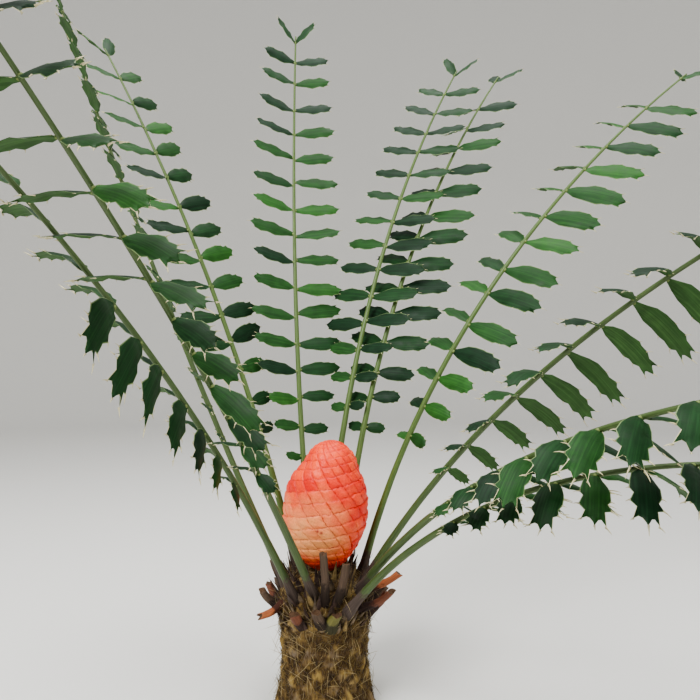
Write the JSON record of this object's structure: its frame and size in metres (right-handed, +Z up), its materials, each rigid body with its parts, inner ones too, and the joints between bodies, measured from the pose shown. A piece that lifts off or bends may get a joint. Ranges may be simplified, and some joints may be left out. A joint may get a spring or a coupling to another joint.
{
  "type": "cycad",
  "caption": "Cycad with a low armoured trunk, an open crown of arching pinnate fronds with stiff spiny leaflets, and one large coral-red seed cone.",
  "frame": {"origin": "middle of the flat cut under the trunk, at ground level", "axes": "+Z up the trunk, -Y towards the open front of the crown, +X to the right seen from the front"},
  "size_m": [1.817, 1.9002, 1.9738],
  "materials": {
    "bark": "rough",
    "cone": "satin",
    "frond": "satin",
    "stub": "rough"
  },
  "bodies": {
    "root": {"cone": "cone", "frond_back": "frond", "frond_back_left": "frond", "frond_back_right_inner": "frond", "frond_back_right_outer": "frond", "frond_front_left_inner": "frond", "frond_front_left_outer": "frond", "frond_front_right_inner": "frond", "frond_front_right_lower": "frond", "frond_front_right_upper": "frond", "frond_left": "frond", "frond_right": "frond", "stub_01": "stub", "stub_02": "stub", "stub_03": "stub", "stub_04": "stub", "stub_05": "stub", "stub_06": "stub", "stub_07": "stub", "stub_08": "stub", "stub_09": "stub", "stub_10": "stub", "stub_11": "stub", "stub_12": "stub", "stub_13": "stub", "stub_14": "stub", "stub_15": "stub", "stub_16": "stub", "stub_17": "stub", "stub_18": "stub", "stub_19": "stub", "stub_20": "stub", "stub_21": "stub", "stub_22": "stub", "trunk": "bark"}
  },
  "joints": []
}
